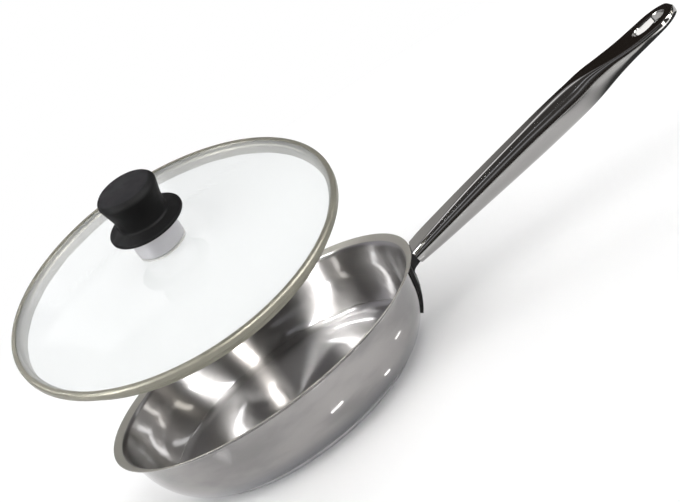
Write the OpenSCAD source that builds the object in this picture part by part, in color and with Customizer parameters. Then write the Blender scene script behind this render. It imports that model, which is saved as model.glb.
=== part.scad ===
// Frying pan with a domed glass lid, in millimetres.
// The pan stands on z = 0 with its centre on the Z axis, and its handle runs out along +X.
// The lid is drawn shut and then turned up and back about one slanted axis, to where it is held open.

/* [Pan shell] */
// Outer radius of the pouring lip
rim_r = 122; // [110:1:150]
// Height of the lip's edge above the table
rim_h = 51.7; // [46:0.1:70]
// Thickness of the drawn steel shell
shell_t = 0.8; // [0.6:0.1:1.5]
// Slope of the lip above the horizontal, in degrees
lip_slope = 30; // [20:1:40]
// Width of the lip, from the neck to its edge
lip_w = 7.2; // [5:0.1:10]
// Lean of the upper wall away from the vertical, in degrees
wall_lean = 9.5; // [5:0.5:14]
// Slope above the horizontal at which the floor's bend passes into the wall's bend, in degrees
foot_slope = 47; // [40:1:60]
// Height of the corner that the bend between the lower and the upper wall rounds off
knee_h = 18.6; // [14:0.1:24]
// Bend radius where the wall turns out into the lip
neck_bend = 4; // [2:0.5:6]
// Bend radius between the floor and the lower wall
foot_bend = 12; // [3:0.5:14]

/* [Sandwich base] */
// Radius of the capsule under the pan
base_r = 91.8; // [80:0.1:92]
// Height of the capsule, up to the underside of the shell
base_h = 3.6; // [3:0.1:7]
// Thickness of the capsule's steel sheet
cap_t = 0.6; // [0.4:0.1:1]
// Bend radius of the capsule's lower edge
cap_bend = 1.6; // [1:0.1:2.5]
// Clearance round the aluminium disc inside the capsule
core_gap = 0.2; // [0.1:0.05:0.4]

/* [Handle] */
// Length of the handle along its slope
handle_len = 226; // [180:1:260]
// Slope of the handle above the horizontal, in degrees
handle_rise = 11.8; // [6:0.1:20]
// Gap between the lip's edge and the handle's end
handle_gap = 1.6; // [1.5:0.1:5]
// Drop from the lip's edge to the middle of the handle's end
handle_drop = 4.3; // [2:0.1:9]
// Width of the handle at the grip
grip_w = 24; // [20:0.5:32]
// Height of the handle at the grip
grip_h = 23.6; // [18:0.1:30]
// Thickness of the handle's sheet
handle_t = 1; // [0.8:0.1:1.5]
// Length of the hanging eye
eye_len = 23.6; // [16:0.1:30]
// Width of the hanging eye
eye_w = 15; // [8:0.5:18]
// Land between the eye and the handle's end
eye_land = 6.6; // [4:0.1:12]
// Thickness of the bracket plate on the wall
bracket_t = 2; // [1.2:0.1:3]
// Width of the bracket plate
bracket_w = 26; // [18:1:32]
// Height of the bracket plate's lower end above the table
bracket_low = 13; // [8:1:24]
// Height of the bracket plate's upper end above the table
bracket_top = 44; // [34:1:45]
// Depth to which the bracket's tongue enters the handle
tongue_depth = 16; // [8:1:30]

/* [Lid] */
// Clearance from the lip's edge to the outside of the steel band round the glass
lid_inset = 2; // [1:0.1:4]
// Thickness of the band's folded sheet
band_t = 0.8; // [0.5:0.1:1]
// Width of the band's flange on top of the glass
band_lip = 3.4; // [2:0.1:5]
// Depth of the band's skirt below the glass edge
skirt_h = 6; // [3:0.5:10]
// Clearance between the skirt and the pan's neck
skirt_gap = 1.2; // [0.8:0.1:3]
// Clearance between the shut lid and the lip
seat_gap = 0.3; // [0.2:0.05:0.6]
// Thickness of the glass
glass_t = 4; // [3:0.5:5]
// Clearance between the glass edge and the band
glass_gap = 0.1; // [0.05:0.05:0.3]
// Rise of the dome above the glass edge
dome_h = 9.5; // [6:0.5:20]
// Radius of the flat land in the middle of the dome
land_r = 19; // [18:0.5:24]
// Bend radius where the dome meets the flat edge
dome_bend = 14; // [6:1:24]
// Width of the flat edge of the glass
glass_edge = 4.4; // [3:0.1:6]

/* [Knob] */
// Radius of the steel collar under the grip
collar_r = 17; // [14:0.5:20]
// Height of the collar
collar_h = 18; // [8:0.5:22]
// Wall of the collar
collar_t = 1.5; // [1:0.1:2.5]
// Radius of the grip's brim
brim_r = 26; // [22:0.5:32]
// Thickness of the brim at its edge
brim_t = 2.4; // [2:0.1:4]
// Rise of the brim from its edge to the waist
brim_rise = 2.6; // [1:0.1:4]
// Radius of the grip's waist
waist_r = 17.5; // [15:0.1:19]
// Radius of the grip's top
top_r = 21; // [19.5:0.5:26]
// Height of the grip above the collar
grip_rise = 30.6; // [24:0.1:40]
// Crown of the grip's top
crown_h = 1.6; // [0.5:0.1:3]
// Width and height of the bevel round the grip's top
bevel_w = 2.8; // [1:0.1:4]
// Radius of the screw's shank
screw_r = 2.5; // [2:0.1:3]
// Radius of the screw's head
head_r = 4.8; // [4:0.1:6]
// Height of the screw's head
head_h = 2.8; // [2:0.1:4]
// Radial clearance round the screw's shank
screw_gap = 0.5; // [0.3:0.05:0.8]
// Outer radius of the threaded insert in the grip
insert_r = 4.4; // [4:0.1:6]
// Length of the threaded insert
insert_len = 14; // [8:0.5:20]
// Radial clearance of the screw in the insert
thread_gap = 0.05; // [0.02:0.01:0.1]
// Thickness of the washer under the screw's head
washer_t = 1; // [0.8:0.1:1.5]
// Radius of the washer
washer_r = 8; // [6:0.5:10]
// Thickness of the soft seals on both sides of the glass
seal_t = 1.2; // [0.8:0.1:2]
// Wall of the seal's sleeve in the glass hole
sleeve_t = 1; // [0.8:0.1:1.5]

/* [Lifted lid] */
// Turn of the lid from shut to where it is held open, in degrees
lift_turn = 18.7; // [0:0.1:30]
// Compass direction of the turning axis, from +X towards +Y, in degrees
lift_yaw = 20.9; // [0:0.1:40]
// Slope of the turning axis above the horizontal, in degrees
lift_pitch = 8; // [0:0.1:15]
// Distance of the turning axis from the pan's centre line
lift_reach = 258.6; // [240:0.1:320]
// Height of the turning axis above the pan's lip, where it passes nearest to the pan
lift_height = 40.4; // [0:0.1:60]

/* [Hidden] */
$fn = 96;
// Overrun of every cut past the face that it opens
over = 1;
// Steps of a rounded corner in an outline
bend_steps = 8;

function unit(v) = v / norm(v);
// Corner q between p and s, rounded to radius r by an arc that touches both sides
function corner(p, q, s, r) =
    let (a = unit(p - q), b = unit(s - q), half = acos(a * b) / 2)
    let (centre = q + unit(a + b) * r / sin(half), foot = r / tan(half))
    let (from = q + a * foot - centre, to = q + b * foot - centre)
    let (start = atan2(from[1], from[0]), turn = atan2(to[1], to[0]) - start)
    let (sweep = turn > 180 ? turn - 360 : turn < -180 ? turn + 360 : turn)
    [for (k = [0 : bend_steps])
        centre + r * [cos(start + sweep * k / bend_steps), sin(start + sweep * k / bend_steps)]];
function rounded(points, radii) =
    let (last = len(points) - 1)
    [for (i = [0 : last])
        for (p = radii[i] > 0 ? corner(points[i - 1], points[i], points[i + 1], radii[i]) : [points[i]]) p];

// A direction turned left by a quarter turn, the direction of a path at point i, and the path moved
// sideways by d, to the left of its direction
function side(v) = [-v[1], v[0]];
function direction(path, i) =
    let (a = path[max(i - 1, 0)], b = path[min(i + 1, len(path) - 1)]) unit(b - a);
function beside(path, d) = [for (i = [0 : len(path) - 1]) path[i] + side(direction(path, i)) * d];
function reverse(list) = [for (i = [len(list) - 1 : -1 : 0]) list[i]];

// A path thickened to a strip of sheet on its left side, or with a negative t on its right
function strip(path, t) = concat(path, reverse(beside(path, t)));

// Pan shell: outer outline from the centre of the floor's underside to the lip's edge
lip_run = lip_w * cos(lip_slope);
lip_up = lip_w * sin(lip_slope);
neck_r = rim_r - lip_run;
neck_h = rim_h - lip_up;
knee_r = neck_r - (neck_h - knee_h) * tan(wall_lean);
foot_r = knee_r - (knee_h - base_h) / tan(foot_slope);
// The wall's bend takes what the floor's bend leaves of the lower wall, or what the lip's bend leaves
// of the upper wall
foot_reach = foot_bend * tan(foot_slope / 2);
neck_reach = neck_bend * tan((90 - wall_lean - lip_slope) / 2);
knee_reach = min((knee_h - base_h) / sin(foot_slope) - foot_reach,
                 (neck_h - knee_h) / cos(wall_lean) - neck_reach);
knee_bend = knee_reach / tan((90 - wall_lean - foot_slope) / 2);
shell_path = rounded(
    [[0, base_h], [foot_r, base_h], [knee_r, knee_h], [neck_r, neck_h], [rim_r, rim_h]],
    [0, foot_bend, knee_bend, neck_bend, 0]);
// The straight upper wall's radius at a height, outside and inside
function wall_r(z) = neck_r - (neck_h - z) * tan(wall_lean);
wall_inside = neck_r - shell_t / cos(wall_lean);

module pan_body() {
    color([0.78, 0.77, 0.76]) rotate_extrude() polygon(shell_outline());
}
// The strip's first two points lie on the axis, and its edge is rounded over
function shell_outline() =
    let (inner = beside(shell_path, shell_t), last = len(shell_path) - 1)
    let (mid = (shell_path[last] + inner[last]) / 2, along = direction(shell_path, last))
    let (across = shell_path[last] - mid)
    concat(shell_path,
           [for (k = [1 : bend_steps - 1])
               mid + across * cos(180 * k / bend_steps) + along * norm(across) * sin(180 * k / bend_steps)],
           reverse(inner));

module base_cap() {
    path = rounded([[0, 0], [base_r, 0], [base_r, base_h]], [0, cap_bend, 0]);
    color([0.70, 0.70, 0.71]) rotate_extrude() polygon(strip(path, cap_t));
}

module base_core() {
    r = base_r - cap_t - core_gap;
    bend = cap_bend - cap_t;
    path = rounded([[0, cap_t], [r, cap_t], [r, base_h]], [0, bend, 0]);
    color([0.80, 0.81, 0.82]) rotate_extrude() polygon(concat(path, [[0, base_h]]));
}

// Handle: a row for each place along it, smoothed into a closed skin. Each row holds the place as a
// share of the length; half the width, and the height above and below the middle line, as shares of
// the grip's half sizes; and the flat part of the top and of the bottom as shares of the width
handle_shares = [
    [0.000, 1.25, 0.42, 0.48, 0.66, 0.50],
    [0.040, 1.25, 0.50, 0.56, 0.66, 0.38],
    [0.085, 1.21, 0.57, 0.65, 0.62, 0.28],
    [0.230, 1.09, 0.74, 0.82, 0.46, 0.08],
    [0.445, 1.00, 0.88, 0.98, 0.36, 0.00],
    [0.560, 1.00, 0.94, 1.00, 0.24, 0.00],
    [0.640, 1.00, 0.92, 0.98, 0.24, 0.00],
    [0.700, 1.04, 0.79, 0.89, 0.62, 0.00],
    [0.760, 1.16, 0.56, 0.70, 0.84, 0.06],
    [0.820, 1.34, 0.37, 0.50, 0.90, 0.30],
    [0.870, 1.47, 0.28, 0.34, 0.91, 0.66],
    [0.930, 1.54, 0.22, 0.22, 0.92, 0.86],
    [1.000, 1.54, 0.20, 0.20, 0.92, 0.86]];
handle_root = [rim_r + handle_gap, 0, rim_h - handle_drop];
paddle_r = handle_shares[len(handle_shares) - 1][1] * grip_w / 2;
// The last row before share s, and the table's row at share s, on a smooth curve through its neighbours
function row_before(s, i = 0) =
    i >= len(handle_shares) - 2 || handle_shares[i + 1][0] > s ? i : row_before(s, i + 1);
function slope_at(i) =
    let (a = handle_shares[max(i - 1, 0)], b = handle_shares[min(i + 1, len(handle_shares) - 1)])
    (b - a) / (b[0] - a[0]);
function handle_row(s) =
    let (i = row_before(s), a = handle_shares[i], b = handle_shares[i + 1], run = b[0] - a[0])
    let (k = (s - a[0]) / run)
    (2 * k ^ 3 - 3 * k ^ 2 + 1) * a + (3 * k ^ 2 - 2 * k ^ 3) * b
        + (k ^ 3 - 2 * k ^ 2 + k) * run * slope_at(i) + (k ^ 3 - k ^ 2) * run * slope_at(i + 1);

// One ring of the skin: flat top, flat bottom and elliptical corners, drawn in by inset
function ring(x, half_w, above, below, flat_top, flat_low, steps) =
    [for (k = [0 : steps - 1])
        let (turn = 360 * (k + 0.5) / steps, up = turn < 180)
        let (flat = up ? flat_top : flat_low, tall = up ? above : below)
        let (hand = cos(turn) > 0 ? 1 : -1)
        [x, hand * flat + (half_w - flat) * cos(turn), tall * sin(turn)]];
// The paddle's round end narrows the last rings
function tip_share(x) =
    let (past = x - (handle_len - paddle_r))
    past <= 0 ? 1 : sqrt(max(1 - (past / paddle_r) ^ 2, 0));
function handle_ring(x, inset, steps) =
    let (row = handle_row(x / handle_len), half_w = row[1] * grip_w / 2 * tip_share(x) - inset)
    ring(x, half_w, row[2] * grip_h / 2 - inset, row[3] * grip_h / 2 - inset,
         row[4] * half_w, row[5] * half_w, steps);

// A closed skin through rings of equal count
module skin(rings) {
    n = len(rings[0]);
    m = len(rings);
    points = [for (r = rings) for (p = r) p];
    sides = [for (j = [0 : m - 2]) for (k = [0 : n - 1])
        let (a = j * n + k, b = j * n + (k + 1) % n)
        for (face = [[a, b + n, b], [a, a + n, b + n]]) face];
    first = [for (k = [0 : n - 1]) k];
    last = [for (k = [n - 1 : -1 : 0]) (m - 1) * n + k];
    polyhedron(points, concat([first], sides, [last]));
}

// Places of the rings: even along the grip, then closing in on the round end, up to tip_turn degrees
// of its quarter circle. The cavity ends before the flat paddle
grip_rings = 30;
tip_rings = 7;
tip_turn = 88;
ring_steps = 40;
cavity_rings = 18;
cavity_steps = 24;
cavity_end_share = 0.78;
tip_from = handle_len - paddle_r;
handle_places = concat([for (j = [0 : grip_rings]) tip_from * j / grip_rings],
                       [for (j = [1 : tip_rings]) tip_from + paddle_r * sin(tip_turn * j / tip_rings)]);

module on_handle_line() {
    translate(handle_root) rotate([0, -handle_rise, 0]) children();
}

eye_from = handle_len - eye_land - eye_len;
module eye_prism(grow) {
    h = 2 * grip_h;
    for (x = [eye_from + eye_w / 2, eye_from + eye_len - eye_w / 2])
        translate([x, 0, -h / 2]) cylinder(r = eye_w / 2 + grow, h = h);
    translate([eye_from + eye_w / 2, -eye_w / 2 - grow, -h / 2])
        cube([eye_len - eye_w, eye_w + 2 * grow, h]);
}

module handle_tube() {
    color([0.62, 0.62, 0.63]) on_handle_line() difference() {
        skin([for (x = handle_places) handle_ring(x, 0, ring_steps)]);
        skin([for (j = [0 : cavity_rings])
            let (x = handle_len * cavity_end_share * j / cavity_rings)
            let (at = j == 0 ? -over : x)
            [for (p = handle_ring(max(x, 0), handle_t, cavity_steps)) [at, p[1], p[2]]]]);
        eye_prism(0);
    }
}

// Bracket: a plate that follows the wall, a neck that starts inside the plate and runs under the lip,
// and a tongue in the handle's open end
// Clearance of the tongue in the handle, and of the plate on the wall
tongue_gap = 0.3;
plate_gap = 0.1;
tongue_rings = 4;
// Width of the neck, its depth down the plate, its clearance under the lip and its fillet to the plate
neck_w = 20;
neck_depth = 15;
neck_clear = 1.2;
neck_fillet = 7;
// Thickness of the neck's foot, where the fillet starts
neck_foot = 1.6 * bracket_t;
bracket_half = asin(bracket_w / 2 / wall_r(bracket_top));
// The stretch of an upward path between two heights
function at_height(a, b, z) = a + (b - a) * (z - a[1]) / (b[1] - a[1]);
function between(path, low, high) =
    [for (i = [0 : len(path) - 2])
        let (a = path[i], b = path[i + 1])
        for (p = b[1] <= low || a[1] >= high || b[1] == a[1] ? []
                 : a[1] < low ? [at_height(a, b, low)]
                 : b[1] > high ? [a, at_height(a, b, high)] : [a]) p];
plate_path = between(beside(shell_path, -plate_gap), bracket_low, bracket_top);
function along_handle(x, z) =
    [handle_root[0] + x * cos(handle_rise) - z * sin(handle_rise),
     handle_root[2] + x * sin(handle_rise) + z * cos(handle_rise)];
module handle_bracket() {
    half_h = handle_shares[0][2] * grip_h / 2 - handle_t - tongue_gap;
    low = bracket_top - neck_depth;
    inset = handle_t + tongue_gap;
    neck = rounded(
        [along_handle(over, half_h), along_handle(-over, half_h),
         [neck_r + 2 * neck_clear, neck_h - neck_clear],
         [wall_r(bracket_top) + bracket_t / 2, bracket_top],
         [wall_r(low) + bracket_t / 2, low], [wall_r(low) + bracket_t, low],
         [wall_r(low) + neck_foot, handle_root[2] - 2 * half_h], along_handle(over, -half_h)],
        [0, 0, 0, 0, 0, 0, neck_fillet, 0]);
    color([0.30, 0.30, 0.31]) union() {
        rotate([0, 0, -bracket_half]) rotate_extrude(angle = 2 * bracket_half)
            polygon(strip(plate_path, -bracket_t));
        rotate([90, 0, 0]) linear_extrude(height = neck_w, center = true) polygon(neck);
        on_handle_line() skin([for (j = [0 : tongue_rings])
            handle_ring(tongue_depth * j / tongue_rings, inset, cavity_steps)]);
    }
}

// Lid, drawn about z = 0 at the middle of the band's outer side
lid_r = rim_r - lid_inset;
band_h = glass_t + 2 * glass_gap + 2 * band_t;
skirt_r = wall_inside - skirt_gap;
glass_top = glass_t / 2;
// The shut lid rests on the lip's sloping upper face with the rounded lower corner of its band
band_bend = 2 * band_t;
function lip_top(r) = rim_h - (rim_r - r) * tan(lip_slope) + shell_t / cos(lip_slope);
lid_z = lip_top(lid_r - band_bend) + (band_bend + seat_gap) / cos(lip_slope) + band_h / 2 - band_bend;

module lid_place() {
    axis = [cos(lift_pitch) * cos(lift_yaw), cos(lift_pitch) * sin(lift_yaw), sin(lift_pitch)];
    point = [lift_reach * sin(lift_yaw), -lift_reach * cos(lift_yaw), rim_h + lift_height];
    translate(point) rotate(a = lift_turn, v = axis) translate(-point) translate([0, 0, lid_z]) children();
}

glass_r = lid_r - band_t - glass_gap;
dome_from = glass_r - glass_edge;
dome_run = dome_from - land_r;
dome_r = (dome_run ^ 2 + dome_h ^ 2) / (2 * dome_h);
dome_turn = asin(dome_run / dome_r);
dome_steps = 20;
dome_arc = [for (k = [0 : dome_steps])
    let (a = dome_turn * k / dome_steps)
    [land_r + dome_r * sin(a), glass_top + dome_h - dome_r * (1 - cos(a))]];
// The dome runs out into the flat edge on a bend, which ends short of the band's edge of the glass
dome_limit = glass_edge / 2 / tan(dome_turn / 2);
dome_foot = corner(dome_arc[dome_steps - 1], dome_arc[dome_steps], [glass_r, glass_top],
                   min(dome_bend, dome_limit));
// The ground edge of the glass clears the band's inner bends
glass_round = band_bend - band_t + glass_gap;
hole_r = screw_r + screw_gap + sleeve_t;
glass_path = concat([[hole_r, glass_top + dome_h]], [for (k = [0 : dome_steps - 1]) dome_arc[k]],
                    dome_foot);

module lid_glass() {
    edge = rounded(
        [dome_foot[bend_steps], [glass_r, glass_top], [glass_r, glass_top - glass_t],
         [dome_foot[bend_steps][0], glass_top - glass_t]],
        [0, glass_round, glass_round, 0]);
    under = reverse(beside(concat(glass_path, [[glass_r, glass_top]]), -glass_t));
    color([0.80, 0.88, 0.86, 0.35]) lid_place() rotate_extrude()
        polygon(concat(glass_path, [for (k = [1 : len(edge) - 2]) edge[k]],
                       [for (k = [1 : len(under) - 1]) under[k]]));
}

module lid_band() {
    top = band_h / 2;
    skirt_bend = 1.5 * band_t;
    path = rounded(
        [[lid_r - band_lip, top], [lid_r, top], [lid_r, -top], [skirt_r, -top], [skirt_r, -top - skirt_h]],
        [0, band_bend, band_bend, skirt_bend, 0]);
    color([0.72, 0.72, 0.70]) lid_place() rotate_extrude() polygon(strip(path, -band_t));
}

// Knob stack on the flat land of the dome, from the screw's head up to the grip
land_z = glass_top + dome_h;
collar_z = land_z + seal_t;
grip_z = collar_z + collar_h;
under_z = land_z - glass_t;

module ring_plate(r, bore, z, h) {
    translate([0, 0, z]) difference() {
        cylinder(r = r, h = h);
        translate([0, 0, -over]) cylinder(r = bore, h = h + 2 * over);
    }
}

module upper_seal() {
    color([0.85, 0.85, 0.84]) lid_place() union() {
        ring_plate(collar_r, screw_r + screw_gap, land_z, seal_t);
        ring_plate(hole_r - glass_gap, screw_r + screw_gap, under_z + glass_t / 2, glass_t / 2);
    }
}

module lower_seal() {
    color([0.85, 0.85, 0.84]) lid_place()
        ring_plate(washer_r, screw_r + screw_gap, under_z - seal_t, seal_t);
}

module screw_washer() {
    color([0.75, 0.75, 0.76]) lid_place()
        ring_plate(washer_r, screw_r + screw_gap, under_z - seal_t - washer_t, washer_t);
}

// The screw ends one shank width short of the insert's end. A cross slot is cut in its head
head_z = under_z - seal_t - washer_t;
screw_top = grip_z + insert_len - screw_r;
slot_share = 0.6;
module knob_screw() {
    slot_w = head_r / 4;
    slot_reach = slot_share * head_r;
    color([0.70, 0.70, 0.71]) lid_place() difference() {
        union() {
            translate([0, 0, head_z]) cylinder(r = screw_r, h = screw_top - head_z);
            translate([0, 0, head_z]) mirror([0, 0, 1]) rotate_extrude()
                polygon(concat([[0, 0], [head_r, 0]], rounded(
                    [[head_r, 0], [head_r, head_h], [0, head_h]], [0, head_h / 2, 0])));
        }
        for (turn = [0, 90]) rotate([0, 0, turn])
            translate([-slot_reach, -slot_w / 2, head_z - head_h - over])
                cube([2 * slot_reach, slot_w, head_h / 2 + over]);
    }
}

module knob_insert() {
    color([0.72, 0.60, 0.32]) lid_place()
        ring_plate(insert_r, screw_r + thread_gap, grip_z, insert_len);
}

module knob_collar() {
    path = rounded([[screw_r + screw_gap, collar_z], [collar_r, collar_z], [collar_r, grip_z]],
                   [0, collar_t, 0]);
    color([0.80, 0.80, 0.80]) lid_place() rotate_extrude() polygon(strip(path, collar_t));
}

// Height of the waist's end as a share of the grip's, and the bends of the brim's edge, of the crease
// over the brim, and of the bevel round the top
waist_share = 0.4;
brim_bend = 0.4 * brim_t;
crease_bend = 0.8 * brim_t;
bevel_bend = 1.2 * bevel_w;
// The side flares on a bend that takes up to this share of the straight waist
side_share = 0.7;
module knob_grip() {
    z = grip_z;
    brim_z = z + brim_t + brim_rise;
    waist_z = z + grip_rise * waist_share;
    top_z = z + grip_rise - crown_h;
    flare = atan((top_r - waist_r) / (top_z - bevel_w - waist_z));
    side_bend = min(2 * waist_r, side_share * (waist_z - brim_z) / tan(flare / 2));
    outline = rounded(
        [[insert_r + thread_gap, z], [brim_r, z], [brim_r, z + brim_t], [waist_r, brim_z], [waist_r, waist_z],
         [top_r, top_z - bevel_w], [top_r - bevel_w, top_z], [0, z + grip_rise]],
        [0, brim_bend, brim_bend, crease_bend, side_bend, bevel_bend, bevel_bend, 0]);
    bore_top = z + insert_len + thread_gap;
    color([0.10, 0.10, 0.11]) lid_place() rotate_extrude()
        polygon(concat(outline, [[0, bore_top], [insert_r + thread_gap, bore_top]]));
}

pan_body();
base_core();
base_cap();
handle_bracket();
handle_tube();
lid_glass();
lid_band();
upper_seal();
lower_seal();
screw_washer();
knob_screw();
knob_insert();
knob_collar();
knob_grip();
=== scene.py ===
import math

import bpy
from mathutils import Matrix, Vector


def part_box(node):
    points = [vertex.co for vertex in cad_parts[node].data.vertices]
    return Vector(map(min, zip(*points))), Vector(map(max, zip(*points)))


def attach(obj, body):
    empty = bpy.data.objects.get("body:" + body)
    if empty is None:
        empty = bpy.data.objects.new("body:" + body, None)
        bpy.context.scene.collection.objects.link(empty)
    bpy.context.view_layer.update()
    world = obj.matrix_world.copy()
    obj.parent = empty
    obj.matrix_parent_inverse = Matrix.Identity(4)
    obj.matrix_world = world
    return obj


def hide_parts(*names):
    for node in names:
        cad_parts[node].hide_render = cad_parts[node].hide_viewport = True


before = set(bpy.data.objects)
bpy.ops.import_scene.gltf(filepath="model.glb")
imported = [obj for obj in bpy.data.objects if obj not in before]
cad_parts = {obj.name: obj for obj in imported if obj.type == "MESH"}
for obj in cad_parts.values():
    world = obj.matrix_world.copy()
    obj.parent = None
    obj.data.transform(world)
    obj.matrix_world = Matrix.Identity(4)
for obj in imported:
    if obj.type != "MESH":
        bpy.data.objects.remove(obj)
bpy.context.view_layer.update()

# The camera, fitted to the pan's rim, its base's edges and the middle of its floor in the photograph
CAMERA_AT = Vector((0.1782, -0.6652, 0.2761))
CAMERA_FORWARD = Vector((-0.1369, 0.9488, -0.2847))
CAMERA_ROLL = math.radians(35.2)
CAMERA_LENS = 55.64
SENSOR_WIDTH = 36.0

# The pan's shell, in metres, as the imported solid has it
RIM_R = 0.122
RIM_H = 0.0517
SHELL_T = 0.0008
LIP_SLOPE = math.radians(30)
LIP_W = 0.0072
WALL_LEAN = math.radians(9.5)
FOOT_SLOPE = math.radians(47)
KNEE_H = 0.0186
NECK_BEND = 0.004
FOOT_BEND = 0.012
BASE_H = 0.0036
LIP_FROM = 0.0497

# The handle's tube, in metres along its own slope
HANDLE_LEN = 0.226
HANDLE_RISE = math.radians(11.8)
HANDLE_ROOT = Vector((0.1236, 0, 0.0474))
GRIP_W = 0.024
GRIP_H = 0.0236
HANDLE_T = 0.001
CAVITY_END_SHARE = 0.78
EYE_LEN = 0.0236
EYE_W = 0.015
EYE_LAND = 0.0066
EYE_ROUND = 0.0008
TIP_ROUND = 0.002
# Each row: place along the handle, half width, height above and below, flat part of top and bottom
HANDLE_SHARES = [
    (0.000, 1.25, 0.42, 0.48, 0.66, 0.50),
    (0.040, 1.25, 0.50, 0.56, 0.66, 0.38),
    (0.085, 1.21, 0.57, 0.65, 0.62, 0.28),
    (0.230, 1.09, 0.74, 0.82, 0.46, 0.08),
    (0.445, 1.00, 0.88, 0.98, 0.36, 0.00),
    (0.560, 1.00, 0.94, 1.00, 0.24, 0.00),
    (0.640, 1.00, 0.92, 0.98, 0.24, 0.00),
    (0.700, 1.04, 0.79, 0.89, 0.62, 0.00),
    (0.760, 1.16, 0.56, 0.70, 0.84, 0.06),
    (0.820, 1.34, 0.37, 0.50, 0.90, 0.30),
    (0.870, 1.47, 0.28, 0.34, 0.91, 0.66),
    (0.930, 1.54, 0.22, 0.22, 0.92, 0.86),
    (1.000, 1.54, 0.20, 0.20, 0.92, 0.86),
]
PADDLE_R = HANDLE_SHARES[-1][1] * GRIP_W / 2


# Node helpers

ORIGIN = Vector((0, 0, 0))
UP = Vector((0, 0, 1))
# Noise stays mostly between these two values
NOISE_SPAN = (0.3, 0.7)


def put(tree, socket, value):
    """Links a socket to another socket, or sets it to a constant."""
    if isinstance(value, bpy.types.NodeSocket):
        tree.links.new(value, socket)
    else:
        socket.default_value = value


def node(tree, kind, inputs=None, **settings):
    """A node of that kind, with its settings and its inputs by name or number."""
    made = tree.nodes.new("ShaderNode" + kind)
    for name, value in settings.items():
        setattr(made, name, value)
    for key, value in (inputs or {}).items():
        put(tree, made.inputs[key], value)
    return made


def calc(tree, operation, *values):
    made = node(tree, "Math", operation=operation)
    for socket, value in zip(made.inputs, values):
        put(tree, socket, value)
    return made.outputs[0]


def vector_calc(tree, operation, a, b, output="Vector"):
    return node(tree, "VectorMath", {0: a, 1: b}, operation=operation).outputs[output]


def ramp(tree, value, low, high, to_low=0.0, to_high=1.0):
    """A smooth step of a value from low to high."""
    made = node(tree, "MapRange", interpolation_type="SMOOTHSTEP")
    for name, number in (("Value", value), ("From Min", low), ("From Max", high),
                         ("To Min", to_low), ("To Max", to_high)):
        put(tree, made.inputs[name], number)
    return made.outputs["Result"]


def mix_colour(tree, share, a, b):
    """A mix of two colours, each a socket or plain red, green and blue."""
    made = node(tree, "Mix", data_type="RGBA")
    put(tree, made.inputs[0], share)
    for key, colour in ((6, a), (7, b)):
        put(tree, made.inputs[key], (*colour, 1) if isinstance(colour, tuple) else colour)
    return made.outputs[2]


def join(tree, x, y, z):
    return node(tree, "CombineXYZ", {0: x, 1: y, 2: z}).outputs[0]


def split(tree, vector):
    made = node(tree, "SeparateXYZ", {0: vector})
    return made.outputs[0], made.outputs[1], made.outputs[2]


def coordinates(tree, output="Object"):
    return node(tree, "TexCoord").outputs[output]


def noise(tree, vector, scale, detail=2.0, rough=0.5):
    made = node(tree, "TexNoise", {"Vector": vector, "Scale": scale, "Detail": detail, "Roughness": rough})
    return made.outputs["Fac"]


def bump(tree, height, distance, normal=None):
    """A bump of that height in metres, on top of another normal if there is one."""
    made = node(tree, "Bump", {"Height": height, "Strength": 1.0, "Distance": distance})
    if normal is not None:
        tree.links.new(normal, made.inputs["Normal"])
    return made.outputs["Normal"]


def polar(tree, centre=ORIGIN, axis=UP):
    """Distance from an axis, angle round it in radians and height along it."""
    across = axis.orthogonal().normalized()
    away = vector_calc(tree, "SUBTRACT", coordinates(tree), tuple(centre))
    x, y, height = (vector_calc(tree, "DOT_PRODUCT", away, tuple(v), "Value")
                    for v in (across, axis.cross(across), axis))
    squares = calc(tree, "ADD", calc(tree, "MULTIPLY", x, x), calc(tree, "MULTIPLY", y, y))
    return calc(tree, "SQRT", squares), calc(tree, "ARCTAN2", y, x), height


def material(name, colour, **values):
    """A material with one Principled shader. Values name its sockets with _ for a space."""
    made = bpy.data.materials.new(name)
    made.use_nodes = True
    shader = made.node_tree.nodes["Principled BSDF"]
    shader.inputs["Base Color"].default_value = (*colour, 1)
    for key, value in values.items():
        shader.inputs[key.replace("_", " ")].default_value = value
    return made, made.node_tree, shader


def shades(tree, shader, colour, share, spread):
    """Base colour that varies by that share round a colour."""
    dark, light = (tuple(c * (1 + sign * spread) for c in colour) for sign in (-1, 1))
    tree.links.new(mix_colour(tree, share, dark, light), shader.inputs["Base Color"])


def uneven_sheen(tree, shader, value, low, high):
    """Roughness that follows a noise, from low to high."""
    tree.links.new(ramp(tree, value, *NOISE_SPAN, low, high), shader.inputs["Roughness"])


def grain(tree, shader, scale, depth, detail=2.0):
    """A fine bump of that many grains a metre and that depth in metres."""
    height = noise(tree, coordinates(tree), scale, detail=detail)
    tree.links.new(bump(tree, height, depth), shader.inputs["Normal"])


def dress(name, made):
    """Gives a CAD node's object the material."""
    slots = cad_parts[name].data.materials
    slots.clear()
    slots.append(made)


# Mesh helpers

def corner(before, at, after, radius, steps):
    """The corner at a point of an outline, rounded by an arc that touches both its sides."""
    a, b = (before - at).normalized(), (after - at).normalized()
    half = a.angle(b) / 2
    centre = at + (a + b).normalized() * radius / math.sin(half)
    reach = radius / math.tan(half)
    start, end = at + a * reach - centre, at + b * reach - centre
    sweep = start.angle(end)
    return [centre + (start * math.sin(sweep * (steps - k) / steps) + end * math.sin(sweep * k / steps))
            / math.sin(sweep) for k in range(steps + 1)]


def rounded(points, radii, steps):
    """An outline with a radius at each of its points."""
    path = []
    for k, (point, radius) in enumerate(zip(points, radii)):
        path += corner(points[k - 1], point, points[k + 1], radius, steps) if radius else [point]
    return path


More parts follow.
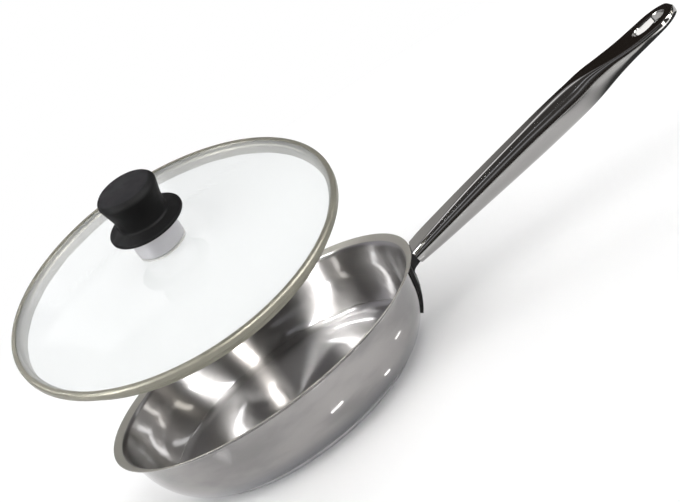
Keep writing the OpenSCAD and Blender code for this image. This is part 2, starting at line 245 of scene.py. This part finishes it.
def beside(path, distance):
    """A path moved sideways, to the left of its direction."""
    moved = []
    for k, point in enumerate(path):
        along = (path[min(k + 1, len(path) - 1)] - path[max(k - 1, 0)]).normalized()
        moved.append(point + Vector((-along.y, along.x)) * distance)
    return moved


def mesh_object(name, points, faces, sharp_angle):
    """A smooth-shaded object whose edges over that angle stay sharp."""
    mesh = bpy.data.meshes.new(name)
    mesh.from_pydata([tuple(p) for p in points], [], faces)
    mesh.polygons.foreach_set("use_smooth", [True] * len(mesh.polygons))
    mesh.set_sharp_from_angle(angle=sharp_angle)
    made = bpy.data.objects.new(name, mesh)
    bpy.context.scene.collection.objects.link(made)
    return made


def tube_faces(first, second, count):
    """The quads between two rings of points, given the numbers of their first points."""
    return [(first + k, first + (k + 1) % count, second + (k + 1) % count, second + k) for k in range(count)]


def lathe(name, outline, turns):
    """A solid of revolution about the Z axis. Its outline of (radius, height) starts and ends on the axis."""
    points = [(0, 0, outline[0].y), (0, 0, outline[-1].y)]
    for spot in outline[1:-1]:
        for k in range(turns):
            angle = 2 * math.pi * k / turns
            points.append((spot.x * math.cos(angle), spot.x * math.sin(angle), spot.y))
    last = len(points) - turns
    faces = [(0, 2 + (k + 1) % turns, 2 + k) for k in range(turns)]
    faces += [(1, last + k, last + (k + 1) % turns) for k in range(turns)]
    for first in range(2, last, turns):
        faces += tube_faces(first, first + turns, turns)
    return mesh_object(name, points, faces, math.pi)


# Pan shell

BEND_STEPS = 48
EDGE_STEPS = 12
SHELL_TURNS = 288
# The shell's finishes: polished outside, satin lip, brushed inside
OUTSIDE, LIP, INSIDE = 0, 1, 2


def shell_outline():
    """The shell's section as (radius, height): its outside, the rim's round edge and its inside."""
    neck = Vector((RIM_R - LIP_W * math.cos(LIP_SLOPE), RIM_H - LIP_W * math.sin(LIP_SLOPE)))
    knee = Vector((neck.x - (neck.y - KNEE_H) * math.tan(WALL_LEAN), KNEE_H))
    foot = Vector((knee.x - (KNEE_H - BASE_H) / math.tan(FOOT_SLOPE), BASE_H))
    half_pi = math.pi / 2
    knee_reach = min((KNEE_H - BASE_H) / math.sin(FOOT_SLOPE) - FOOT_BEND * math.tan(FOOT_SLOPE / 2),
                     (neck.y - KNEE_H) / math.cos(WALL_LEAN)
                     - NECK_BEND * math.tan((half_pi - WALL_LEAN - LIP_SLOPE) / 2))
    knee_bend = knee_reach / math.tan((half_pi - WALL_LEAN - FOOT_SLOPE) / 2)
    outer = rounded([Vector((0, BASE_H)), foot, knee, neck, Vector((RIM_R, RIM_H))],
                    [0, FOOT_BEND, knee_bend, NECK_BEND, 0], BEND_STEPS)
    inner = beside(outer, SHELL_T)
    halfway = (outer[-1] + inner[-1]) / 2
    across = outer[-1] - halfway
    along = (outer[-1] - outer[-2]).normalized() * across.length
    edge = [halfway + across * math.cos(math.pi * k / EDGE_STEPS) + along * math.sin(math.pi * k / EDGE_STEPS)
            for k in range(1, EDGE_STEPS)]
    return outer + edge + inner[::-1]


# Handle

RING_STEPS = 144
GRIP_RINGS = 150
TIP_RINGS = 48
CAVITY_RINGS = 60
EYE_STEPS = 144
EYE_ROUND_STEPS = 8
# How far short of the very tip the last ring stops, in steps between rings
TIP_GAP = 0.3
EDGE_ANGLE = math.radians(50)


def handle_row(share):
    """The table's row at a share of the length, on a smooth curve through its neighbours."""
    rows = [Vector(row) for row in HANDLE_SHARES]
    last = len(rows) - 1
    k = max(i for i in range(last) if rows[i][0] <= share or i == 0)
    a, b = rows[k], rows[k + 1]
    run = b[0] - a[0]

    def slope(i):
        low, high = rows[max(i - 1, 0)], rows[min(i + 1, last)]
        return (high - low) / (high[0] - low[0]) * run

    t = (share - a[0]) / run
    return ((2 * t ** 3 - 3 * t ** 2 + 1) * a + (3 * t ** 2 - 2 * t ** 3) * b
            + (t ** 3 - 2 * t ** 2 + t) * slope(k) + (t ** 3 - t ** 2) * slope(k + 1))


def round_off(distance, reach):
    """A quarter circle's height, from 0 at the edge to 1 at that reach inside it."""
    return math.sqrt(1 - (1 - min(max(distance / reach, 0), 1)) ** 2)


def handle_ring(x, inset):
    """One ring of the handle: flat top, flat bottom and elliptical corners, drawn in by the inset."""
    row = handle_row(x / HANDLE_LEN)
    past = (x - (HANDLE_LEN - PADDLE_R)) / PADDLE_R
    half_w = row[1] * GRIP_W / 2 * (math.sqrt(max(1 - past ** 2, 0)) if past > 0 else 1) - inset
    end = round_off(HANDLE_LEN - x, TIP_ROUND)
    points = []
    for k in range(RING_STEPS):
        turn = 2 * math.pi * (k + 0.5) / RING_STEPS
        up = turn < math.pi
        tall = (row[2] if up else row[3]) * GRIP_H / 2 * end - inset
        flat = (row[4] if up else row[5]) * half_w
        hand = 1 if math.cos(turn) > 0 else -1
        across = hand * flat + (half_w - flat) * math.cos(turn)
        points.append(Vector((x, across, tall * math.sin(turn))))
    return points


def on_handle(point):
    """A place in the handle's own frame, in the model's frame."""
    return HANDLE_ROOT + Matrix.Rotation(-HANDLE_RISE, 3, "Y") @ point


def loft(name, rings, sharp_angle):
    """A closed skin through rings of equal count."""
    count = len(rings[0])
    points = [on_handle(p) for ring in rings for p in ring]
    faces = [tuple(range(count))[::-1], tuple(range(len(points) - count, len(points)))]
    for first in range(0, len(points) - count, count):
        faces += tube_faces(first, first + count, count)
    return mesh_object(name, points, [face[::-1] for face in faces], sharp_angle)


def eye_rings():
    """The cutter of the hanging eye, whose rounded edges follow the handle's upper and lower faces."""
    near = HANDLE_LEN - EYE_LAND - EYE_LEN + EYE_W / 2
    far = HANDLE_LEN - EYE_LAND - EYE_W / 2
    # Each level: how far outside the eye the cutter reaches, and how deep below the face it lies
    levels = [(EYE_ROUND, -EYE_LEN)]
    for k in range(1, EYE_ROUND_STEPS + 1):
        turn = math.pi / 2 * k / EYE_ROUND_STEPS
        levels.append((EYE_ROUND * (1 - math.sin(turn)), EYE_ROUND * (1 - math.cos(turn))))
    rings = []
    for column, sign in ((2, 1), (3, -1)):
        for grow, depth in levels[::sign]:
            ring = []
            for k in range(EYE_STEPS):
                turn = 2 * math.pi * (k + 0.5) / EYE_STEPS
                x = (far if math.cos(turn) > 0 else near) + (EYE_W / 2 + grow) * math.cos(turn)
                tall = handle_row(x / HANDLE_LEN)[column] * GRIP_H / 2
                ring.append(Vector((x, (EYE_W / 2 + grow) * math.sin(turn), sign * (tall - depth))))
            rings.append(ring)
    return rings


def cut(target, cutter):
    """Takes one closed mesh out of another, and weights the normals by the faces' areas."""
    modifier = target.modifiers.new("cut", "BOOLEAN")
    modifier.object = cutter
    modifier.operation = "DIFFERENCE"
    modifier.solver = "EXACT"
    weighted = target.modifiers.new("normals", "WEIGHTED_NORMAL")
    weighted.keep_sharp = True
    graph = bpy.context.evaluated_depsgraph_get()
    result = bpy.data.meshes.new_from_object(target.evaluated_get(graph))
    target.modifiers.clear()
    target.data = result
    bpy.data.objects.remove(cutter)


def make_handle():
    """The hollow tube with its rounded tip and its hanging eye."""
    grip = [(HANDLE_LEN - PADDLE_R) * k / GRIP_RINGS for k in range(GRIP_RINGS + 1)]
    tip = [HANDLE_LEN - PADDLE_R * (1 - math.sin(math.pi / 2 * k / (TIP_RINGS + TIP_GAP)))
           for k in range(1, TIP_RINGS + 1)]
    outside = [handle_ring(x, 0) for x in grip + tip]
    cavity = [handle_ring(HANDLE_LEN * CAVITY_END_SHARE * k / CAVITY_RINGS, HANDLE_T)
              for k in range(CAVITY_RINGS + 1)]
    handle = loft("handle_tube_skin", cavity[::-1] + outside, EDGE_ANGLE)
    cut(handle, loft("eye", eye_rings(), math.pi))
    return handle


# Camera, world, lights and floor

def make_camera():
    back = -CAMERA_FORWARD.normalized()
    level_right = CAMERA_FORWARD.cross(UP).normalized()
    level_up = back.cross(level_right)
    turn = math.cos(CAMERA_ROLL), math.sin(CAMERA_ROLL)
    right = level_right * turn[0] - level_up * turn[1]
    up = level_right * turn[1] + level_up * turn[0]
    camera = bpy.data.objects.new("camera", bpy.data.cameras.new("camera"))
    camera.data.lens = CAMERA_LENS
    camera.data.sensor_width = SENSOR_WIDTH
    camera.matrix_world = Matrix.Translation(CAMERA_AT) @ Matrix((right, up, back)).transposed().to_4x4()
    bpy.context.scene.collection.objects.link(camera)
    bpy.context.scene.camera = camera


# What polished metal sees round it, in degrees and plain brightness: each window's azimuth from +X
# towards +Y, its width, its lowest and highest elevation, its level and its tint. A level below 0 takes
# light away
DARK_ROOM = (0.09, 0.085, 0.081)
WINDOWS = {
    "backdrop": (140, 40, -8, 60, 0.60, (0.93, 0.91, 1.0)),
    "left_window": (219, 10, -2, 60, 30.0, (1.0, 1.0, 1.0)),
    "front_window": (300, 7, -2, 60, 36.0, (1.0, 0.97, 0.93)),
    "right_window": (343, 10, -2, 60, 30.0, (1.0, 1.0, 1.0)),
    "side_lamp": (5, 5, 0, 30, 4.0, (1.0, 0.95, 0.85)),
    "far_lamp": (43, 6, 20, 50, 3.0, (1.0, 1.0, 1.0)),
    "left_window_foot": (219, 12, -2, 15, 10.0, (1.0, 1.0, 1.0)),
    "far_backdrop": (90, 60, 26, 70, 0.3, (0.97, 0.95, 1.0)),
    "table_end": (106, 26, 4, 16, 0.4, (1.0, 0.98, 0.95)),
    "high_panel": (112, 30, 44, 60, 1.5, (1.0, 1.0, 1.0)),
    "wedge_lamp": (159, 8, 50, 64, 60.0, (1.0, 1.0, 1.0)),
    "dark_corner": (82, 18, -2, 24, -0.065, (1.0, 1.0, 1.0)),
    "dark_wall": (262, 30, -8, 14, -0.05, (1.0, 1.0, 1.0)),
    "upper_strip": (236, 40, 51, 57, 0.8, (0.9, 0.92, 1.0)),
    "lower_strip": (254, 30, 25, 33, 0.4, (0.9, 0.92, 1.0)),
}
WINDOW_EDGE = 2.0
WHITE = (1.0, 1.0, 1.0)
# What dull surfaces see
DAYLIGHT = (0.75, 0.75, 0.75)
SOFTBOXES = {"key": (-0.9, -0.9, 1.3), "back": (0.9, 1.3, 1.2)}
SOFTBOX_SIZE = (1.6, 1.2)
SOFTBOX_POWER = 14


def window(tree, azimuth, elevation, at, width, low, high, level, tint):
    """The light of one soft-edged window for a direction."""
    off = calc(tree, "ABSOLUTE", calc(tree, "WRAP", calc(tree, "SUBTRACT", azimuth, at), 180.0, -180.0))
    edge = min(WINDOW_EDGE, width / 2)
    across = ramp(tree, off, width / 2 + edge, width / 2 - edge)
    above = ramp(tree, elevation, low - WINDOW_EDGE, low + WINDOW_EDGE)
    below = ramp(tree, elevation, high + WINDOW_EDGE, high - WINDOW_EDGE)
    share = calc(tree, "MULTIPLY", across, calc(tree, "MULTIPLY", above, below))
    light = tuple(level * c for c in tint)
    return node(tree, "VectorMath", {0: light, 3: share}, operation="SCALE").outputs[0]


def make_world():
    world = bpy.data.worlds.new("studio")
    world.use_nodes = True
    bpy.context.scene.world = world
    tree = world.node_tree
    x, y, z = split(tree, coordinates(tree, "Generated"))
    azimuth = calc(tree, "DEGREES", calc(tree, "ARCTAN2", y, x))
    elevation = calc(tree, "DEGREES", calc(tree, "ARCSINE", z))
    room = join(tree, *DARK_ROOM)
    for place in WINDOWS.values():
        room = vector_calc(tree, "ADD", room, window(tree, azimuth, elevation, *place))
    path = node(tree, "LightPath")
    seen = calc(tree, "MAXIMUM", path.outputs["Is Camera Ray"], path.outputs["Is Transmission Ray"])
    light = mix_colour(tree, path.outputs["Is Glossy Ray"], DAYLIGHT, room)
    light = mix_colour(tree, seen, light, WHITE)
    tree.links.new(light, tree.nodes["Background"].inputs["Color"])


def make_softbox(name, at):
    """A softbox that faces the origin."""
    light = bpy.data.objects.new(name, bpy.data.lights.new(name, "AREA"))
    light.data.shape = "RECTANGLE"
    light.data.size, light.data.size_y = SOFTBOX_SIZE
    light.data.energy = SOFTBOX_POWER
    light.visible_glossy = False
    turn = Vector(at).to_track_quat("Z", "Y").to_matrix().to_4x4()
    light.matrix_world = Matrix.Translation(at) @ turn
    bpy.context.scene.collection.objects.link(light)


# Cards lying on the floor that only polished metal sees: place, turn in degrees, length, width, soft edge
# and plain brightness. The first darkens the handle's end and the second gives it a bright edge. The next
# three are glints on the pan's wall, and the last is a soft patch there
CARDS = [
    (0.885, -0.475, 0, 1.23, 1.45, 0.04, 0.08),
    (0.92, -0.675, 0, 1.16, 1.05, 0.04, 2.6),
    (0.0530, -0.1186, 14, 0.017, 0.0042, 0.0015, 8.0),
    (0.0838, -0.0729, 51, 0.009, 0.0028, 0.0012, 8.0),
    (0.1267, -0.0520, 62, 0.015, 0.0036, 0.0015, 8.0),
    (-0.079, -0.144, 10, 0.034, 0.024, 0.01, 1.4),
]


FLOOR_REACH = 6.0
# How far the floor lies under the base, in metres
FLOOR_GAP = 0.0002
FLOOR_COLOUR = (0.9, 0.9, 0.9)
# The floor fades from lit, near the object, to plain white, between these distances in metres
FLOOR_FADE = (0.3, 1.0)


def make_floor():
    points = [(x * FLOOR_REACH, y * FLOOR_REACH, 0) for x, y in ((-1, -1), (1, -1), (1, 1), (-1, 1))]
    floor = mesh_object("floor", points, [(0, 1, 2, 3)], math.pi)
    floor.location.z = -FLOOR_GAP
    made, tree, shader = material("floor", FLOOR_COLOUR, Roughness=0.9)
    far, _, _ = polar(tree)
    path = node(tree, "LightPath")
    glossy = path.outputs["Is Glossy Ray"]
    seen = calc(tree, "MAXIMUM", path.outputs["Is Camera Ray"], path.outputs["Is Transmission Ray"])
    share = calc(tree, "MULTIPLY", ramp(tree, far, *FLOOR_FADE), calc(tree, "MAXIMUM", seen, glossy))
    strength = 1.0
    for x, y, turn, length, width, edge, light in CARDS:
        away = vector_calc(tree, "SUBTRACT", coordinates(tree), (x, y, 0))
        along = (math.cos(math.radians(turn)), math.sin(math.radians(turn)), 0)
        card = glossy
        for side, size in ((along, length), ((-along[1], along[0], 0), width)):
            off = calc(tree, "ABSOLUTE", vector_calc(tree, "DOT_PRODUCT", away, side, "Value"))
            card = calc(tree, "MULTIPLY", card, ramp(tree, off, size / 2, size / 2 - edge))
        strength = calc(tree, "MULTIPLY_ADD", card, calc(tree, "SUBTRACT", light, strength), strength)
        share = calc(tree, "MAXIMUM", share, card)
    glow = node(tree, "Emission", {"Strength": strength})
    blend = node(tree, "MixShader", {0: share, 1: shader.outputs[0], 2: glow.outputs[0]})
    tree.links.new(blend.outputs[0], tree.nodes["Material Output"].inputs["Surface"])
    floor.data.materials.append(made)


# Materials

# Colours as plain red, green and blue
PAN_FLOOR = (0.28, 0.272, 0.268)
# Painted shade: the wall is the floor's steel, painted darker
PAN_WALL_SHADE = (0.22, 0.213, 0.208)
DARK_CLOUD = (0.205, 0.197, 0.195)
LIGHT_CLOUD = (0.305, 0.29, 0.283)
# Painted reflection of the shaded floor, low on the outer wall
PAN_FOOT_SHADE = (0.17, 0.17, 0.18)
PAN_LIP = (0.285, 0.273, 0.243)
CHROME = (0.36, 0.353, 0.345)
# Painted shade: the bracket is steel, nearly black only in the shade under the handle
BRACKET_SHADE_BLACK = (0.014, 0.0135, 0.0135)
SILICONE = (0.7, 0.7, 0.68)
# Painted light: the knob's top is the side's plastic, painted paler where light falls from above
KNOB_CROWN_LIT = (0.014, 0.0135, 0.015)
KNOB_SIDE = (0.003, 0.003, 0.0032)
# Painted light: a white film on the glass that stands in for the lid's brightness
GLASS_PAINTED_WHITE = (0.935, 0.95, 0.95)
BAND = (0.235, 0.227, 0.185)
COLLAR = (0.56, 0.56, 0.58)
CAPSULE = (0.55, 0.55, 0.56)
PLAIN_METAL = (0.6, 0.6, 0.6)
BRASS = (0.6, 0.45, 0.2)

# Where the pan's floor turns into its wall by radius, and its outer wall into its foot by height, in metres.
# Both colour steps are painted light and shade
FLOOR_TO_WALL = (0.086, 0.100)
WALL_TO_FOOT_SHADE = (0.020, 0.009)
# Noise scales along X, Y and Z, for each metre
CLOUD_SCALE = (22.0, 22.0, 60.0)
HANDLE_WAVE_SCALE = (30.0, 160.0, 160.0)
# Waves of drawn sheet round the pan, and the lathe's rings on pan and lid: pitch and depth in metres
PAN_WAVES = 120
PAN_RINGS = (0.0003, 0.0000015)
FINE_RINGS = (0.0002, 0.000001)
# About how often the rings fade in each radian round the piece, and the sheet's waves in each metre of radius
RING_FADES = 4
RADIAL_WAVES = 12.0
# The knob's crown: where it ends, by distance from the lid's axis, and how deep under the top, in metres
CROWN_EDGE = (0.0195, 0.0165)
CROWN_DEPTH = (0.003, 0.001)


def box_middle(name):
    low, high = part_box(name)
    return (low + high) / 2


# The lid's axis, and the height of the knob's top along it
LID_FOOT = box_middle("screw_washer")
LID_AXIS = (box_middle("knob_insert") - LID_FOOT).normalized()
KNOB_TOP = max((v.co - LID_FOOT).dot(LID_AXIS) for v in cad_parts["knob_grip"].data.vertices)


def turned_lines(tree, radius, angle, height, pitch, depth, normal=None):
    """The fine rings that polishing on a lathe leaves. They fade in and out round the piece."""
    lines = join(tree, radius, height, calc(tree, "MULTIPLY", angle, RING_FADES * pitch))
    return bump(tree, noise(tree, lines, scale=1 / pitch, detail=1.0), depth, normal)


def rolled_waves(tree, radius, angle, count, depth):
    """The faint unevenness of drawn sheet, as about that many waves round the piece."""
    # A circle of this radius is about that many waves long
    reach = count / 6
    round_x = calc(tree, "MULTIPLY", calc(tree, "COSINE", angle), reach)
    round_y = calc(tree, "MULTIPLY", calc(tree, "SINE", angle), reach)
    along = calc(tree, "MULTIPLY", radius, RADIAL_WAVES)
    waves = noise(tree, join(tree, round_x, round_y, along), scale=1.0)
    return bump(tree, waves, depth)


def pan_steel(name, colour, rough, anisotropic, waves, coat, coat_rough, metallic=1.0):
    """Steel finished on a lathe, so its highlights run across the turned lines."""
    made, tree, shader = material(name, colour, Metallic=metallic, Roughness=rough, Anisotropic=anisotropic,
                                  Anisotropic_Rotation=0.25, Coat_Weight=coat, Coat_IOR=2.6,
                                  Coat_Roughness=coat_rough)
    radius, angle, height = polar(tree)
    normal = rolled_waves(tree, radius, angle, PAN_WAVES, waves)
    normal = turned_lines(tree, radius, angle, height, *PAN_RINGS, normal)
    tree.links.new(normal, shader.inputs["Normal"])
    tangent = node(tree, "Tangent", direction_type="RADIAL", axis="Z").outputs[0]
    tree.links.new(tangent, shader.inputs["Tangent"])
    return made, tree, shader


def pan_inside():
    """Brushed. The floor is painted brighter than the wall, as painted light and shade on one steel, and has
    more gloss over its brushing.
    """
    made, tree, shader = pan_steel("pan_inside", PAN_FLOOR, rough=0.33, anisotropic=1.0, waves=0.00001,
                                   coat=1.0, coat_rough=0.08)
    radius, _, _ = polar(tree)
    # Painted light and shade: the floor is painted brighter than the wall, though both are the same steel
    colour = mix_colour(tree, ramp(tree, radius, *FLOOR_TO_WALL), PAN_FLOOR, PAN_WALL_SHADE)
    tree.links.new(colour, shader.inputs["Base Color"])
    tree.links.new(ramp(tree, radius, *FLOOR_TO_WALL, to_low=1.0, to_high=0.5), shader.inputs["Coat Weight"])
    return made


def pan_outside():
    """Polished, with a faint cloudiness, and painted darker and bluer round the foot: a painted reflection of
    the shaded floor by the base.
    """
    made, tree, shader = pan_steel("pan_outside", LIGHT_CLOUD, rough=0.15, anisotropic=0.5, waves=0.00003,
                                   coat=0.5, coat_rough=0.05)
    _, _, z = split(tree, coordinates(tree))
    stretched = vector_calc(tree, "MULTIPLY", coordinates(tree), CLOUD_SCALE)
    clouds = ramp(tree, noise(tree, stretched, scale=1.0, detail=3.0), low=0.35, high=0.65)
    colour = mix_colour(tree, clouds, DARK_CLOUD, LIGHT_CLOUD)
    # Painted reflection of the shaded floor round the foot
    colour = mix_colour(tree, ramp(tree, z, *WALL_TO_FOOT_SHADE), colour, PAN_FOOT_SHADE)
    tree.links.new(colour, shader.inputs["Base Color"])
    return made


def pan_lip():
    """Satin, without the gloss of the rest."""
    made, _, _ = pan_steel("pan_lip", PAN_LIP, rough=0.5, anisotropic=0.0, waves=0.00001,
                           coat=0.0, coat_rough=0.1, metallic=0.4)
    return made


def turned_metal(name, colour, rough, centre=ORIGIN, axis=UP, metallic=1.0):
    """Metal turned or polished about an axis: fine rings and a slightly uneven sheen."""
    made, tree, shader = material(name, colour, Metallic=metallic)
    radius, angle, height = polar(tree, centre, axis)
    tree.links.new(turned_lines(tree, radius, angle, height, *FINE_RINGS), shader.inputs["Normal"])
    clouds = noise(tree, coordinates(tree), scale=120.0, detail=3.0)
    uneven_sheen(tree, shader, clouds, low=rough * 0.85, high=rough * 1.15)
    shades(tree, shader, colour, clouds, spread=0.08)
    return made


def lid_metal(name, colour, rough, metallic=1.0):
    """Metal turned about the lid's axis."""
    return turned_metal(name, colour, rough, LID_FOOT, LID_AXIS, metallic)


def chrome():
    """Polished sheet whose reflections waver a little along the handle."""
    made, tree, shader = material("handle_steel", CHROME, Metallic=1.0)
    stretched = vector_calc(tree, "MULTIPLY", coordinates(tree), HANDLE_WAVE_SCALE)
    waves = noise(tree, stretched, scale=1.0, detail=1.0)
    tree.links.new(bump(tree, waves, distance=0.00001), shader.inputs["Normal"])
    uneven_sheen(tree, shader, waves, low=0.09, high=0.13)
    shades(tree, shader, CHROME, waves, spread=0.05)
    return made


def dark_steel():
    """Steel painted nearly black as painted shade, in blotches, with a fine grain."""
    made, tree, shader = material("dark_steel", BRACKET_SHADE_BLACK, Metallic=0.6)
    blotches = noise(tree, coordinates(tree), scale=260.0, detail=4.0)
    uneven_sheen(tree, shader, blotches, low=0.38, high=0.55)
    grain(tree, shader, scale=2500.0, depth=0.000006)
    shades(tree, shader, BRACKET_SHADE_BLACK, blotches, spread=0.35)
    return made


def rubber(name):
    """Pale silicone with a soft grain, a little dustier in places."""
    made, tree, shader = material(name, SILICONE)
    dust = noise(tree, coordinates(tree), scale=300.0, detail=4.0)
    uneven_sheen(tree, shader, dust, low=0.6, high=0.8)
    grain(tree, shader, scale=4000.0, depth=0.00001)
    shades(tree, shader, SILICONE, dust, spread=0.06)
    return made


def black_plastic():
    """Moulded plastic with a fine grain. The crown is painted a little paler than the side, as painted light
    from above.
    """
    made, tree, shader = material("black_plastic", KNOB_SIDE, Specular_IOR_Level=0.12)
    radius, _, height = polar(tree, LID_FOOT, LID_AXIS)
    # Painted light on the crown, near the axis and the top
    near_axis = ramp(tree, radius, *CROWN_EDGE)
    near_top = ramp(tree, height, *(KNOB_TOP - depth for depth in CROWN_DEPTH))
    crown = calc(tree, "MULTIPLY", near_axis, near_top)
    tree.links.new(mix_colour(tree, crown, KNOB_SIDE, KNOB_CROWN_LIT), shader.inputs["Base Color"])
    grain(tree, shader, scale=2600.0, depth=0.00003, detail=3.0)
    uneven_sheen(tree, shader, noise(tree, coordinates(tree), scale=150.0), low=0.52, high=0.64)
    return made


def glass():
    """Glass with a pale film, painted light: its white stands in for the brightness that hides the pan under
    the lid.

    Its IOR is below real glass's 1.5, so that it mirrors as little as the photograph's does.
    """
    made, tree, shader = material("glass", GLASS_PAINTED_WHITE, IOR=1.25, Transmission_Weight=0.8,
                                  Specular_IOR_Level=0.2)
    film = noise(tree, coordinates(tree), scale=40.0, detail=3.0)
    uneven_sheen(tree, shader, film, low=0.03, high=0.07)
    shades(tree, shader, GLASS_PAINTED_WHITE, film, spread=0.008)
    return made


def make_shell():
    shell = lathe("pan_shell", shell_outline(), SHELL_TURNS)
    # In the order of OUTSIDE, LIP and INSIDE
    for finish in (pan_outside(), pan_lip(), pan_inside()):
        shell.data.materials.append(finish)
    for face in shell.data.polygons:
        up = face.normal.z > 0 and face.center.z > BASE_H + SHELL_T / 2
        inward = face.normal.x * face.center.x + face.normal.y * face.center.y < 0
        lip = face.center.z > LIP_FROM
        face.material_index = LIP if lip and (up or inward) else INSIDE if up or inward else OUTSIDE
    return shell


make_camera()
make_world()
for softbox, place in SOFTBOXES.items():
    make_softbox(softbox, place)
make_floor()

shell = make_shell()
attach(shell, "pan")
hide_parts("pan_body")

handle = make_handle()
handle.data.materials.clear()
handle.data.materials.append(chrome())
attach(handle, "pan")
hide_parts("handle_tube")

# The photograph shows nothing through the glass but the band, and no glass mirrored in the metal
for hidden in ("handle_bracket", "base_cap", "base_core", "lower_seal", "screw_washer", "knob_screw"):
    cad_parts[hidden].visible_transmission = False
shell.visible_transmission = False
handle.visible_transmission = False
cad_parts["lid_glass"].visible_glossy = False

dress("base_core", turned_metal("aluminium", PLAIN_METAL, rough=0.4))
dress("base_cap", turned_metal("base_steel", CAPSULE, rough=0.35))
dress("handle_bracket", dark_steel())
dress("lid_glass", glass())
dress("lid_band", lid_metal("band_steel", BAND, rough=0.42, metallic=0.6))
for seal in ("upper_seal", "lower_seal"):
    dress(seal, rubber(seal))
for piece in ("screw_washer", "knob_screw"):
    dress(piece, lid_metal(piece, PLAIN_METAL, rough=0.3))
dress("knob_insert", lid_metal("brass", BRASS, rough=0.3))
dress("knob_collar", lid_metal("collar_steel", COLLAR, rough=0.48, metallic=0.6))
dress("knob_grip", black_plastic())

bpy.context.scene.view_settings.view_transform = "Standard"
